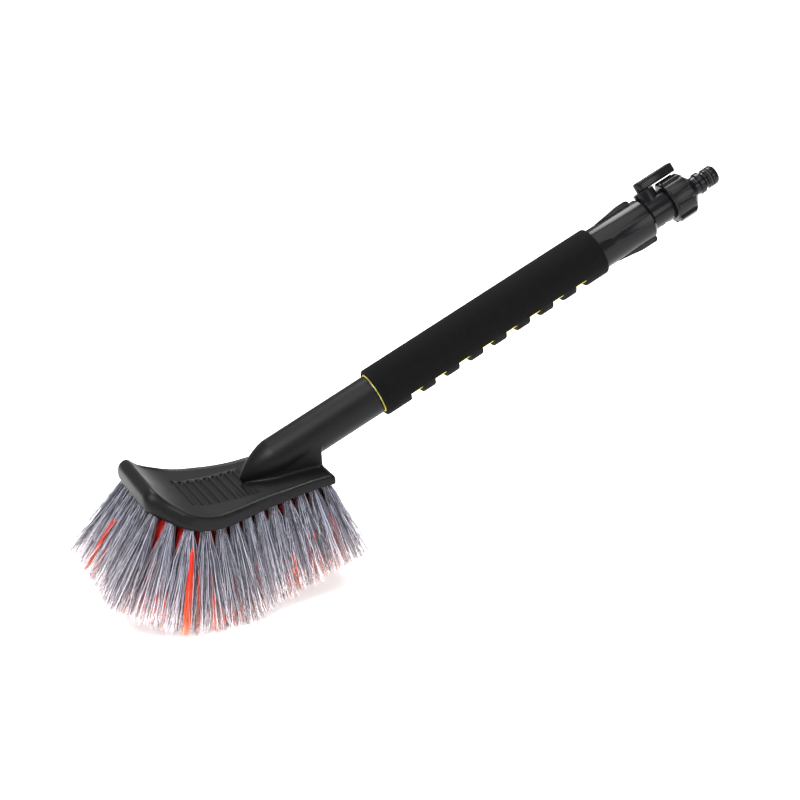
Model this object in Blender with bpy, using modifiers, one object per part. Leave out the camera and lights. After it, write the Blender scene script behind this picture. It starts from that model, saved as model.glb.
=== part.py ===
"""Flow-through wash brush with a shut-off tap, in metres, +Z up.

+X runs from the front of the head towards the hose end. The origin is on the surface that the
bristle tips rest on, under the lowest point of the head. Everything on the handle is built in
the handle's own frame: local +Z along the handle, local +X on its underside.
"""

import math

import bmesh
import bpy
from mathutils import Matrix, Vector

FIT_GAP = 0.0003  # clearance between neighbouring pieces
OVERRUN = 0.004  # how far a cutter runs past the face it cuts

# Head plate: a saddle that curls up at the front and slopes gently up to the rear
PLATE_TOP = 0.0815  # height of the top at its lowest point, x = 0
PLATE_WALL = 0.0105
PLATE_EDGE = 0.0030  # rounding of the plate's outer rim
BEAD_WIDTH = 0.0006  # flat top of the raised rim, inside its outer rounding
BEAD_STEP = 0.0016  # run of the step from the rim down to the top's middle
BEAD_HEIGHT = 0.0010  # how far the rim stands above the middle
LIP_ROUND = 0.0016
CURL_RADIUS = 0.055
CURL_ANGLE = math.radians(55)
LIP_DEPTH = 0.0095  # how far the front lip's round nose lies below the top, along its normal
UNDER_RADIUS = 0.0870  # the underside curls up less, so the block is thicker at the front
UNDER_ANGLE = math.radians(38)
REAR_RISE = 0.0078  # how much higher the top is at the rear than at its lowest point
UNDER_RISE = 0.0111  # the same for the underside, so the block thins towards the rear
REAR_X = 0.0935
FRONT_HALF = 0.046
WIDE_HALF = 0.0615
WIDE_X = -0.019
WAIST_HALF = 0.0460
WAIST_X = 0.046
REAR_HALF = 0.0415
FRONT_CORNER = 0.009
REAR_CORNER = 0.003
DRAFT = 0.0010  # how much narrower the underside is, each side

# Sunk panel of cross ribs in the top, ahead of the neck and on both sides of its nose
RIB_COUNT = 8
RIB_PITCH = 0.0064
RIB_SHARE = 0.62  # of the pitch, the rest being the gap between two ribs
RIB_DEPTH = 0.0018  # of the ribs' tops below the rim
GAP_DEPTH = 0.0034
PANEL_HALF_LENGTH = 0.029
PANEL_START = -0.0150

# Handle line
HANDLE_TILT = math.radians(24)  # above the horizontal
GRIP_START = Vector((0.142, 0, 0.1335))  # on the handle's axis, where the foam begins
TUBE_RADIUS = 0.0140
TUBE_WALL = 0.0014
TUBE_INSERT = 0.030  # length of tube inside the neck, and inside the tap's socket
NECK_RADIUS = TUBE_RADIUS + 0.0020
NOSE_START = 0.092  # along the axis, from the foam down to where the neck starts to taper
NOSE_LENGTH = 0.030
NOSE_POWER = 1.4  # below 2, so the nose is more pointed than an ellipse
KEEL_HALF = NECK_RADIUS - 0.0010
KEEL_SETBACK = 0.0012  # of the keel's front and rear from the neck's tip and the plate's rear
SEAL_THICKNESS = 0.0020
PASSAGE_RADIUS = TUBE_RADIUS - 0.0055
PASSAGE_OVERLAP = 0.0030  # how far the passage runs on past the outlet's centre
OUTLET_X = 0.055
OUTLET_RADIUS = 0.0075
DIFFUSER_WALL = 0.0014
DIFFUSER_DEPTH = 0.0070
DIFFUSER_HOLE = 0.0011
DIFFUSER_HOLES = 6

# Tufts
TUFT_INSET = 0.0040  # from the plate's rim to the outer row
ROW_DEPTH = 0.0100  # depth of the outer rows
TUFT_LENGTH = 0.0725
TUFT_FRONT_SHORTER = 0.0040
TUFT_REAR_SHORTER = 0.0165
SIDE_SPLAY = math.tan(math.radians(15))
REAR_SPLAY = math.tan(math.radians(17))
TUFT_GAP = 0.0012
CENTRE_SHARE = 0.42  # of the half width, taken by the centre tufts

# Foam grip: two layers on the tube
GRIP_LENGTH = 0.2095
INNER_FOAM_RADIUS = TUBE_RADIUS + 0.0024
OUTER_FOAM_RADIUS = INNER_FOAM_RADIUS + 0.0034
FOAM_ROUND = 0.0016
NOTCH_COUNT = 8
NOTCH_FIRST = 0.0280
NOTCH_PITCH = 0.0222
NOTCH_LENGTH = 0.0115
NOTCH_HALF_ANGLE = math.radians(42)

# Tap body
CLOCKING = math.radians(18)  # the tap and the grip are turned this far on the tube
SOCKET_RADIUS = TUBE_RADIUS + 0.0030
SOCKET_LENGTH = 0.0485
FIN_RADIUS = SOCKET_RADIUS + 0.0030
FIN_WIDTH = 0.0060
FIN_START = 0.0100  # from the socket's mouth
FIN_RISE = 0.0230
FIN_COUNT = 4
FIN_SHORTER_UNDER_LEVER = 0.0060
BARREL_RADIUS = 0.0130
BARREL_LENGTH = 0.0220  # from the socket's end to the adapter
BORE_RADIUS = 0.0050
THREAD_RADIUS = BARREL_RADIUS - 0.0002
THREAD_LENGTH = 0.0110
ADAPTER_RADIUS = THREAD_RADIUS + 0.0036
ADAPTER_RIB_RADIUS = ADAPTER_RADIUS + 0.0019
PIVOT_FROM_SOCKET = 0.0100
PLUG_RADIUS = 0.0050
PLUG_BORE = PLUG_RADIUS - 0.0017
PLUG_TAIL = PLUG_RADIUS - 0.0018
BOSS_RADIUS = PLUG_RADIUS + 0.0038
BOSS_TOP = ADAPTER_RIB_RADIUS + 0.0005  # so the lever passes over the adapter's ribs
RETAINER_RADIUS = PLUG_RADIUS + 0.0008
RETAINER_THICKNESS = 0.0014
RETAINER_SEAT = BARREL_RADIUS - 0.0035  # from the axis, so the retainer lies inside the barrel
RING_SECTION = 0.0009  # radius of an O-ring's cord

# Lever and its screw
LEVER_LENGTH = 0.0355
LEVER_HALF = 0.0048
LEVER_THICKNESS = 0.0074
LEVER_HEEL = 0.0048  # from the pivot to the rounded end
LEVER_POCKET = 0.0036
DRIVE_HALF = PLUG_RADIUS / 2
DRIVE_DEPTH = 0.0026
SCREW_HEAD_RADIUS = 0.0027
SCREW_HEAD = 0.0012
SCREW_SHANK = 0.0011
SCREW_LENGTH = 0.0070

# Hose adapter: a ribbed nut and a push-on nipple in one moulding
ADAPTER_SKIRT = 0.0200
ADAPTER_RIB_WIDTH = 0.0052
ADAPTER_RIBS = 8
WASHER_THICKNESS = 0.0020
NIPPLE_BORE = 0.0045
NIPPLE_NECK = 0.0077
NIPPLE_COLLAR = 0.0088
NIPPLE_HEAD = 0.0080
NIPPLE_LENGTH = 0.0267  # beyond the nut

STEPS = 40

for old in list(bpy.data.objects):
    bpy.data.objects.remove(old, do_unlink=True)


def new_collection(name):
    collection = bpy.data.collections.new(name)
    bpy.context.scene.collection.children.link(collection)
    return collection


PARTS = new_collection("wash_brush")
CUTTERS = new_collection("cutters")


def material(name, colour, roughness, metallic=0.0):
    made = bpy.data.materials.new(name)
    made.use_nodes = True
    shader = made.node_tree.nodes["Principled BSDF"]
    shader.inputs["Base Color"].default_value = (*colour, 1)
    shader.inputs["Roughness"].default_value = roughness
    shader.inputs["Metallic"].default_value = metallic
    return made


BLACK_PLASTIC = material("satin_black_plastic", (0.030, 0.031, 0.032), 0.42)
GLOSS_PLASTIC = material("gloss_black_plastic", (0.016, 0.016, 0.018), 0.25)
BLACK_FOAM = material("black_foam", (0.014, 0.014, 0.014), 0.90)
YELLOW_FOAM = material("yellow_foam", (0.78, 0.66, 0.07), 0.85)
GREY_FILAMENT = material("grey_filament", (0.36, 0.36, 0.40), 0.45)
RED_FILAMENT = material("red_filament", (0.45, 0.010, 0.008), 0.45)
TUBE_METAL = material("tube_aluminium", (0.62, 0.63, 0.64), 0.35, 1.0)
SEAL_RUBBER = material("seal_rubber", (0.010, 0.010, 0.010), 0.60)
SCREW_STEEL = material("screw_steel", (0.55, 0.55, 0.56), 0.30, 1.0)
PALE_PLASTIC = material("plug_plastic", (0.62, 0.62, 0.58), 0.40)


# ---------------------------------------------------------------- shapes


def finished(name, mesh, look, place, cutter):
    mesh.shade_smooth()
    mesh.set_sharp_from_angle(angle=math.radians(35))
    made = bpy.data.objects.new(name, mesh)
    made.matrix_world = place
    if cutter:
        CUTTERS.objects.link(made)
        made.hide_render = True
        made.display_type = "WIRE"
    else:
        PARTS.objects.link(made)
        mesh.materials.append(look)
    return made


def from_bmesh(name, bm, look=None, place=Matrix.Identity(4), cutter=False):
    bmesh.ops.recalc_face_normals(bm, faces=bm.faces)
    mesh = bpy.data.meshes.new(name)
    bm.to_mesh(mesh)
    bm.free()
    return finished(name, mesh, look, place, cutter)


def turned(name, profile, look=None, place=Matrix.Identity(4), cutter=False, steps=STEPS):
    """A closed (radius, height) outline turned about local Z. It runs down its outer side."""
    mesh = bpy.data.meshes.new(name)
    count = len(profile)
    points = [(radius, 0, height) for radius, height in profile]
    mesh.from_pydata(points, [(i, (i + 1) % count) for i in range(count)], [])
    made = finished(name, mesh, look, place, cutter)
    screw = made.modifiers.new("Turn", "SCREW")
    screw.steps = screw.render_steps = steps
    screw.use_merge_vertices = True
    screw.merge_threshold = 1e-6
    return made


def turned_solid(name, profile, look=None, place=Matrix.Identity(4), cutter=False, steps=STEPS):
    """An open (radius, height) outline whose first and last points are on the axis."""
    mesh = bpy.data.meshes.new(name)
    points = [(radius, 0, height) for radius, height in profile]
    mesh.from_pydata(points, [(i, i + 1) for i in range(len(points) - 1)], [])
    made = finished(name, mesh, look, place, cutter)
    screw = made.modifiers.new("Turn", "SCREW")
    screw.steps = screw.render_steps = steps
    screw.use_merge_vertices = True
    screw.merge_threshold = 1e-6
    return made


def ring(name, inner, outer, low, high, look=None, place=Matrix.Identity(4), cutter=False, steps=STEPS):
    profile = [(outer, high), (outer, low), (inner, low), (inner, high)]
    return turned(name, profile, look, place, cutter, steps)


def o_ring(name, middle_radius, look, place):
    count = 10
    angles = [-math.tau * i / count for i in range(count)]
    profile = [
        (middle_radius + RING_SECTION * math.cos(angle), RING_SECTION * math.sin(angle))
        for angle in angles
    ]
    return turned(name, profile, look, place, steps=32)


def rod(name, radius, low, high, place=Matrix.Identity(4), look=None, cutter=True, segments=STEPS):
    bm = bmesh.new()
    bmesh.ops.create_cone(
        bm,
        cap_ends=True,
        segments=segments,
        radius1=radius,
        radius2=radius,
        depth=high - low,
        matrix=Matrix.Translation((0, 0, (low + high) / 2)),
    )
    return from_bmesh(name, bm, look, place, cutter)


def block(name, low, high, place=Matrix.Identity(4), look=None, cutter=True):
    bm = bmesh.new()
    low, high = Vector(low), Vector(high)
    size = high - low
    matrix = Matrix.Translation((low + high) / 2) @ Matrix.Diagonal((*size, 1))
    bmesh.ops.create_cube(bm, size=1, matrix=matrix)
    return from_bmesh(name, bm, look, place, cutter)


def prism(name, outline, low, high, place=Matrix.Identity(4), look=None, cutter=True):
    """A flat outline drawn out from one height to another; either may be a function of x."""
    bm = bmesh.new()
    base = bm.faces.new([bm.verts.new((x, y, level(low, x))) for x, y in outline])
    drawn = bmesh.ops.extrude_face_region(bm, geom=[base])["geom"]
    for vertex in (item for item in drawn if isinstance(item, bmesh.types.BMVert)):
        vertex.co.z = level(high, vertex.co.x)
    return from_bmesh(name, bm, look, place, cutter)


def level(height, x):
    return height(x) if callable(height) else height


def between(name, sheets, look=None, cutter=False):
    """A loft from the first sheet of points to the last, past the rims of those between them."""
    bm = bmesh.new()
    rows, columns = len(sheets[0]), len(sheets[0][0])
    rim = [(i, 0) for i in range(rows)] + [(rows - 1, j) for j in range(1, columns)]
    rim += [(i, columns - 1) for i in range(rows - 2, -1, -1)]
    rim += [(0, j) for j in range(columns - 2, 0, -1)]
    rims = []
    for sheet in sheets:
        whole = sheet in (sheets[0], sheets[-1])
        places = [(i, j) for i in range(rows) for j in range(columns)] if whole else rim
        grid = {place: bm.verts.new(sheet[place[0]][place[1]]) for place in places}
        rims.append([grid[place] for place in rim])
        if not whole:
            continue
        for i in range(rows - 1):
            for j in range(columns - 1):
                corners = ((i, j), (i + 1, j), (i + 1, j + 1), (i, j + 1))
                bm.faces.new([grid[corner] for corner in corners])
    for above, below in zip(rims, rims[1:]):
        for i in range(len(rim)):
            bm.faces.new((above[i - 1], above[i], below[i], below[i - 1]))
    return from_bmesh(name, bm, look, cutter=cutter)


def joined(target, tool, operation):
    boolean = target.modifiers.new(tool.name, "BOOLEAN")
    boolean.operation = operation
    boolean.object = tool
    boolean.solver = "EXACT"


def cut(target, *tools):
    for tool in tools:
        joined(target, tool, "DIFFERENCE")


def add(target, *tools):
    for tool in tools:
        joined(target, tool, "UNION")


# ---------------------------------------------------------------- frames

ON_HANDLE = Matrix.Translation(GRIP_START) @ Matrix.Rotation(math.pi / 2 - HANDLE_TILT, 4, "Y")
ON_TAP = ON_HANDLE @ Matrix.Rotation(-CLOCKING, 4, "Z")  # local -X is up through the tap's stem

SOCKET_MOUTH = GRIP_LENGTH + FIT_GAP
SOCKET_END = SOCKET_MOUTH + SOCKET_LENGTH
PIVOT = SOCKET_END + PIVOT_FROM_SOCKET
BARREL_END = SOCKET_END + BARREL_LENGTH
THREAD_END = BARREL_END + THREAD_LENGTH
STEM = ON_TAP @ Matrix.Translation((0, 0, PIVOT)) @ Matrix.Rotation(-math.pi / 2, 4, "Y")
# In the stem's frame +Z leaves the handle and +X points to the hose end.


def axis_height(x):
    return GRIP_START.z + (x - GRIP_START.x) * math.tan(HANDLE_TILT)


# ---------------------------------------------------------------- head


def ease(start, end, share):
    return start + (end - start) * (1 - math.cos(math.pi * min(max(share, 0), 1))) / 2


def plate_line(distance):
    """(x, z, slope) of the top's middle line, this far along it behind the lowest point."""
    if distance < 0:
        angle = distance / CURL_RADIUS
        return CURL_RADIUS * math.sin(angle), PLATE_TOP + CURL_RADIUS * (1 - math.cos(angle)), angle
    share = distance / REAR_X
    slope = math.atan(REAR_RISE * math.pi / 2 / REAR_X * math.sin(math.pi * share))
    return distance, PLATE_TOP + ease(0, REAR_RISE, share), slope


FRONT_RUN = CURL_RADIUS * CURL_ANGLE
FRONT_X = -CURL_RADIUS * math.sin(CURL_ANGLE)


def corner_cut(depth, radius):
    """How much a round corner narrows the plate, this far in from its end."""
    short = radius - min(max(depth, 0), radius)
    return radius - math.sqrt(radius**2 - short**2)


def half_width(distance, inset=0.0):
    x = plate_line(distance)[0]
    if x < WIDE_X:
        width = ease(FRONT_HALF, WIDE_HALF, (x - FRONT_X) / (WIDE_X - FRONT_X))
    elif x < WAIST_X:
        width = ease(WIDE_HALF, WAIST_HALF, (x - WIDE_X) / (WAIST_X - WIDE_X))
    else:
        width = ease(WAIST_HALF, REAR_HALF, (x - WAIST_X) / (REAR_X - WAIST_X))
    front_round = corner_cut(FRONT_RUN + distance - inset, FRONT_CORNER)
    rear_round = corner_cut(REAR_X - distance - inset, REAR_CORNER)
    return width - inset - front_round - rear_round


def plate_point(distance, across, depth=0.0, inset=0.0):
    """A point this deep below the top; across runs from -1 to 1 over the width."""
    x, z, slope = plate_line(distance)
    normal = Vector((-math.sin(slope), 0, math.cos(slope)))
    y = across * half_width(distance, inset)
    return Vector((x, y, z)) - normal * depth


def stations(start, end, count):
    return [start + (end - start) * i / count for i in range(count + 1)]


def under_point(distance, across, inset=0.0, deeper=0.0):
    """A point on the plate's underside, or this much deeper, below the same place on its top."""
    if distance >= 0:
        z = PLATE_TOP - PLATE_WALL + ease(0, UNDER_RISE, distance / REAR_X) - deeper
        return Vector((distance, across * half_width(distance, inset), z))
    angle = UNDER_ANGLE * distance / FRONT_RUN
    x = UNDER_RADIUS * math.sin(angle)
    z = PLATE_TOP - PLATE_WALL + UNDER_RADIUS * (1 - math.cos(angle))
    down = Vector((math.sin(angle), 0, -math.cos(angle)))
    return Vector((x, across * half_width(distance, inset), z)) + down * deeper


def side_point(distance, across, depth):
    """A point on the plate's side: square below its top at the front, sloping in behind."""
    if distance < 0:
        return plate_point(distance, across, depth)
    share = depth / PLATE_WALL
    return plate_point(distance, across).lerp(under_point(distance, across), share)


def lip_points(distance, across):
    """Three points round the corner where the side turns in towards the underside."""
    corner = side_point(distance, across, LIP_DEPTH)
    above = side_point(distance, across, LIP_DEPTH - LIP_ROUND)
    below = corner.lerp(under_point(distance, across), 0.2)
    return above, (above + 2 * corner + below) / 4, below


def inset_from(row, inset):
    """The same share of the plate's run, with both of its ends moved in."""
    middle, half = (REAR_X - FRONT_RUN) / 2, (REAR_X + FRONT_RUN) / 2
    return middle + (row - middle) * (1 - inset / half)


def plate_sheets():
    """The plate's top, the rings of points round its rounded rim and side, and its underside."""
    rows = stations(-FRONT_RUN, REAR_X, 24)
    rows += [FRONT_CORNER * share - FRONT_RUN for share in (0.05, 0.18, 0.40)]
    rows += [REAR_X - REAR_CORNER * share for share in (0.10, 0.40)]
    rows.sort()
    columns = [i / 5 for i in range(-5, 6)]
    inner = PLATE_EDGE + BEAD_WIDTH
    rim = [(inner + BEAD_STEP, BEAD_HEIGHT), (inner + BEAD_STEP * 0.6, BEAD_HEIGHT * 0.8)]
    rim += [(inner + BEAD_STEP * 0.25, BEAD_HEIGHT * 0.15), (inner, 0)]
    for angle in (90, 66, 42, 20, 0):
        turn = math.radians(angle)
        rim.append((PLATE_EDGE * (1 - math.cos(turn)), PLATE_EDGE * (1 - math.sin(turn))))
    sheets = []
    for inset, depth in rim:
        runs = [inset_from(row, inset) for row in rows]
        sheets.append([[plate_point(run, across, depth, inset) for across in columns] for run in runs])
    lips = [[lip_points(row, across) for across in columns] for row in rows]
    for i in range(3):
        sheets.append([[points[i] for points in line] for line in lips])
    narrower = 1 - DRAFT / WIDE_HALF
    sheets.append([[under_point(row, across * narrower) for across in columns] for row in rows])
    return sheets


def panel_outline():
    """Side view of the panel's cutter, as (x, z): its floor runs over the tops of the ribs."""
    points = []
    for i in range(RIB_COUNT):
        start = PANEL_START + i * RIB_PITCH
        gap = start + RIB_PITCH * (1 - RIB_SHARE)
        end = start + RIB_PITCH
        rise = RIB_PITCH * 0.12
        points += [(start, GAP_DEPTH), (gap, GAP_DEPTH), (gap + rise, RIB_DEPTH), (end - rise, RIB_DEPTH)]
    points.append((PANEL_START + RIB_COUNT * RIB_PITCH, GAP_DEPTH))
    floor = [plate_point(distance, 0, depth) for distance, depth in points]
    start, end = floor[0], floor[-1]
    high = PLATE_TOP + PLATE_WALL
    outline = [(start.x, high)] + [(point.x, point.z) for point in floor] + [(end.x, high)]
    return outline


def bow(share):
    """Half width of the nose, as a share of its full half width, this far to its tip."""
    return (1 - share**NOSE_POWER) ** (1 / NOSE_POWER)


def keel_outline():
    """Plan of the keel: the neck's own bow, a little inside it, and straight sides."""
    start = GRIP_START.x - NOSE_START * math.cos(HANDLE_TILT)
    run = NOSE_LENGTH * math.cos(HANDLE_TILT) - KEEL_SETBACK
    shares = [math.sin(math.pi / 2 * i / 8) for i in range(9)]
    near = [(start - run * share, KEEL_HALF * bow(share)) for share in shares]
    far = [(x, -y) for x, y in reversed(near[:-1])]
    rear = REAR_X - KEEL_SETBACK
    return near + far + [(rear, -KEEL_HALF), (rear, KEEL_HALF)]


def nose_profile():
    """The neck from its end under the foam down to its bow-shaped nose, as a turned outline."""
    shares = [math.sin(math.pi / 2 * i / 10) for i in range(1, 10)]
    cap = [(NECK_RADIUS * bow(share), -NOSE_START - NOSE_LENGTH * share) for share in shares]
    start = [(0, -FIT_GAP), (NECK_RADIUS, -FIT_GAP), (NECK_RADIUS, -NOSE_START)]
    return start + cap + [(0, -NOSE_START - NOSE_LENGTH)]


SOCKET_BOTTOM = -TUBE_INSERT - SEAL_THICKNESS - 2 * FIT_GAP


def passage_profile():
    wide = TUBE_RADIUS + FIT_GAP
    low = (OUTLET_X - GRIP_START.x) / math.cos(HANDLE_TILT) - PASSAGE_OVERLAP
    return [
        (0, OVERRUN),
        (wide, OVERRUN),
        (wide, SOCKET_BOTTOM),
        (PASSAGE_RADIUS, SOCKET_BOTTOM),
        (PASSAGE_RADIUS, low),
        (0, low),
    ]


def underside(x):
    """Height of the plate's underside at this x behind its lowest point."""
    return under_point(x, 0).z


def make_head():
    head = between("head_block", plate_sheets(), BLACK_PLASTIC)
    keel = prism("keel_form", keel_outline(), keel_floor, axis_height)
    neck = turned_solid("neck_form", nose_profile(), place=ON_HANDLE, cutter=True)
    lowest = keel_floor((ON_HANDLE @ Vector((0, 0, -NOSE_START))).x)
    cut(neck, block("neck_trim", (0, -WIDE_HALF, 0), (REAR_X, WIDE_HALF, lowest)))
    upright = Matrix.Rotation(math.pi / 2, 4, "X")  # the outline's second axis becomes Z
    half = PANEL_HALF_LENGTH
    cut(head, prism("panel_cutter", panel_outline(), -half, half, upright))
    add(head, keel, neck)
    outlet = Matrix.Translation((OUTLET_X, 0, 0))
    bottom, top = underside(OUTLET_X) - 2 * OVERRUN, axis_height(OUTLET_X) - 0.0015
    cut(head, rod("outlet_cutter", OUTLET_RADIUS, bottom, top, outlet, segments=32))
    cut(head, turned_solid("passage_cutter", passage_profile(), place=ON_HANDLE, cutter=True))
    return head


def keel_floor(x):
    """A height inside the plate, for the keel to start from."""
    return underside(x) + PLATE_WALL / 3


def make_diffuser():
    """The pressed-in cup that spreads the water among the tufts."""
    top = underside(OUTLET_X) + DIFFUSER_DEPTH
    bottom = underside(OUTLET_X - OUTLET_RADIUS)
    radius = OUTLET_RADIUS - FIT_GAP
    place = Matrix.Translation((OUTLET_X, 0, 0))
    profile = [
        (radius, top),
        (radius, bottom),
        (0, bottom),
        (0, bottom + DIFFUSER_WALL),
        (radius - DIFFUSER_WALL, bottom + DIFFUSER_WALL),
        (radius - DIFFUSER_WALL, top),
    ]
    cup = turned("water_diffuser", profile, BLACK_PLASTIC, place, steps=32)
    for i in range(DIFFUSER_HOLES):
        turn = Matrix.Rotation(math.tau * i / DIFFUSER_HOLES, 4, "Z")
        at = place @ turn @ Matrix.Translation((radius * 0.55, 0, 0))
        low, high = bottom - OVERRUN, bottom + DIFFUSER_WALL + OVERRUN
        cut(cup, rod(f"diffuser_hole_{i + 1}", DIFFUSER_HOLE, low, high, at, segments=12))
    return cup


# ---------------------------------------------------------------- tufts

TUFT_FRONT = -FRONT_RUN + TUFT_INSET
TUFT_REAR = REAR_X - TUFT_INSET


def tuft_ends(distance, across, shorter=0.0):
    """Root and tip of the tufts at a place on the underside. Tips never pass below z = 0."""
    root = under_point(distance, across, TUFT_INSET, FIT_GAP)
    if distance < 0:
        angle = UNDER_ANGLE * distance / FRONT_RUN
        length = TUFT_LENGTH - TUFT_FRONT_SHORTER * (distance / FRONT_RUN) ** 2
        lean = math.tan(angle)
        length *= math.cos(angle)
    else:
        length = TUFT_LENGTH - TUFT_REAR_SHORTER * root.x / REAR_X
        lean = REAR_SPLAY * (root.x / REAR_X) ** 2
    tip = root + (length - shorter) * Vector((lean, SIDE_SPLAY * across, -1))
    tip.z = max(tip.z, 0)
    return root, tip


def tuft_group(name, start, end, near, far, look, rows, columns, shorter=0.0):
    """One closed body for the tufts between two distances and two shares of the width."""
    upper, lower = [], []
    for row in stations(start, end, rows):
        shares = [near + (far - near) * j / columns for j in range(columns + 1)]
        pairs = [tuft_ends(row, share, shorter) for share in shares]
        upper.append([root for root, tip in pairs])
        lower.append([tip for root, tip in pairs])
    return between(name, (upper, lower), look)


def make_tufts():
    front_end = TUFT_FRONT + ROW_DEPTH
    rear_start = TUFT_REAR - ROW_DEPTH
    side = 1 - ROW_DEPTH / (REAR_HALF - TUFT_INSET)
    gap = TUFT_GAP / REAR_HALF
    tuft_group("front_tufts", TUFT_FRONT, front_end - TUFT_GAP, -1, 1, GREY_FILAMENT, 3, 8)
    tuft_group("rear_tufts", rear_start + TUFT_GAP, TUFT_REAR, -1, 1, GREY_FILAMENT, 3, 8)
    for sign, hand in ((-1, "right"), (1, "left")):
        outer = sign * side, sign
        tuft_group(f"{hand}_side_tufts", front_end, rear_start, *outer, GREY_FILAMENT, 20, 2)
        inner = sign * (CENTRE_SHARE + gap), sign * (side - gap)
        tuft_group(f"{hand}_inner_tufts", front_end, rear_start, *inner, RED_FILAMENT, 20, 2)
    ends = -CENTRE_SHARE, CENTRE_SHARE
    centre = tuft_group("centre_tufts", front_end, rear_start, *ends, RED_FILAMENT, 20, 4)
    clear = OUTLET_RADIUS + OVERRUN
    place = Matrix.Translation((OUTLET_X, 0, 0))
    cut(centre, rod("water_space", clear, -OVERRUN, PLATE_TOP + OVERRUN, place, segments=24))


# ---------------------------------------------------------------- handle and grip


def make_handle():
    end = SOCKET_MOUTH + TUBE_INSERT
    inner = TUBE_RADIUS - TUBE_WALL
    ring("handle_tube", inner, TUBE_RADIUS, -TUBE_INSERT, end, TUBE_METAL, ON_HANDLE)
    low = -TUBE_INSERT - FIT_GAP - SEAL_THICKNESS
    ring("neck_seal", inner, TUBE_RADIUS, low, low + SEAL_THICKNESS, SEAL_RUBBER, ON_HANDLE, steps=32)
    low = end + FIT_GAP
    ring("socket_seal", inner, TUBE_RADIUS, low, low + SEAL_THICKNESS, SEAL_RUBBER, ON_HANDLE, steps=32)


def make_grip():
    inner = TUBE_RADIUS + FIT_GAP
    ring("grip_inner_foam", inner, INNER_FOAM_RADIUS, 0, GRIP_LENGTH, YELLOW_FOAM, ON_HANDLE)
    radius, edge = OUTER_FOAM_RADIUS, FOAM_ROUND
    inner = INNER_FOAM_RADIUS + FIT_GAP
    profile = [
        (radius - edge, GRIP_LENGTH),
        (radius - edge * 0.3, GRIP_LENGTH - edge * 0.3),
        (radius, GRIP_LENGTH - edge),
        (radius, edge),
        (radius - edge * 0.3, edge * 0.3),
        (radius - edge, 0),
        (inner, 0),
        (inner, GRIP_LENGTH),
    ]
    grip = turned("grip_outer_foam", profile, BLACK_FOAM, ON_TAP)
    reach = OUTER_FOAM_RADIUS + OVERRUN
    angles = [NOTCH_HALF_ANGLE * (i / 4 - 1) for i in range(9)]
    sector = [(reach * math.cos(a), reach * math.sin(a)) for a in angles]
    sector += [(0.5 * inner * math.cos(a), 0.5 * inner * math.sin(a)) for a in reversed(angles)]
    for i in range(NOTCH_COUNT):
        low = NOTCH_FIRST + i * NOTCH_PITCH - NOTCH_LENGTH / 2
        cut(grip, prism(f"notch_cutter_{i + 1}", sector, low, low + NOTCH_LENGTH, ON_TAP))


# ---------------------------------------------------------------- tap


def fin_outline(shorter):
    """Side view of one fin: (distance out, distance along) from the tap's axis."""
    end = SOCKET_END - shorter
    start = SOCKET_MOUTH + FIN_START
    inside = SOCKET_RADIUS - 0.0010
    full = start + FIN_RISE
    return [
        (inside, start),
        (SOCKET_RADIUS + 0.0002, start + 0.0020),
        ((SOCKET_RADIUS + FIN_RADIUS) / 2, start + FIN_RISE * 0.55),
        (FIN_RADIUS, full),
        (FIN_RADIUS, end - 0.0015),
        (FIN_RADIUS - 0.0015, end),
        (inside, end),
    ]


def make_tap_body():
    wall_end = SOCKET_MOUTH + TUBE_INSERT + SEAL_THICKNESS + 2 * FIT_GAP
    wide = TUBE_RADIUS + FIT_GAP
    profile = [
        (THREAD_RADIUS - 0.0008, THREAD_END),
        (THREAD_RADIUS, THREAD_END - 0.0008),
        (THREAD_RADIUS, BARREL_END),
        (BARREL_RADIUS, BARREL_END - 0.0006),
        (BARREL_RADIUS, SOCKET_END + 0.0030),
        (SOCKET_RADIUS - 0.0010, SOCKET_END),
        (SOCKET_RADIUS, SOCKET_END - 0.0010),
        (SOCKET_RADIUS, SOCKET_MOUTH),
        (wide, SOCKET_MOUTH),
        (wide, wall_end),
        (BORE_RADIUS, wall_end),
        (BORE_RADIUS, THREAD_END),
    ]
    body = turned("tap_body", profile, GLOSS_PLASTIC, ON_TAP)
    for i in range(FIN_COUNT):
        turn = Matrix.Rotation(math.tau * i / FIN_COUNT, 4, "Z")
        flat = Matrix.Rotation(math.pi / 2, 4, "X")  # the outline's second axis becomes local Z
        outline = fin_outline(FIN_SHORTER_UNDER_LEVER if i == FIN_COUNT // 2 else 0)
        half = FIN_WIDTH / 2
        add(body, prism(f"fin_{i + 1}_form", outline, -half, half, ON_TAP @ turn @ flat))
    add(body, rod("boss_form", BOSS_RADIUS, 0, BOSS_TOP, STEM, segments=32))
    bore, recess, below = PLUG_RADIUS + FIT_GAP, RETAINER_RADIUS + FIT_GAP, -BARREL_RADIUS - OVERRUN
    cut(body, rod("plug_cutter", bore, below, BOSS_TOP + OVERRUN, STEM, segments=32))
    cut(body, rod("retainer_cutter", recess, below, -RETAINER_SEAT, STEM, segments=32))
    return body


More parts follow.
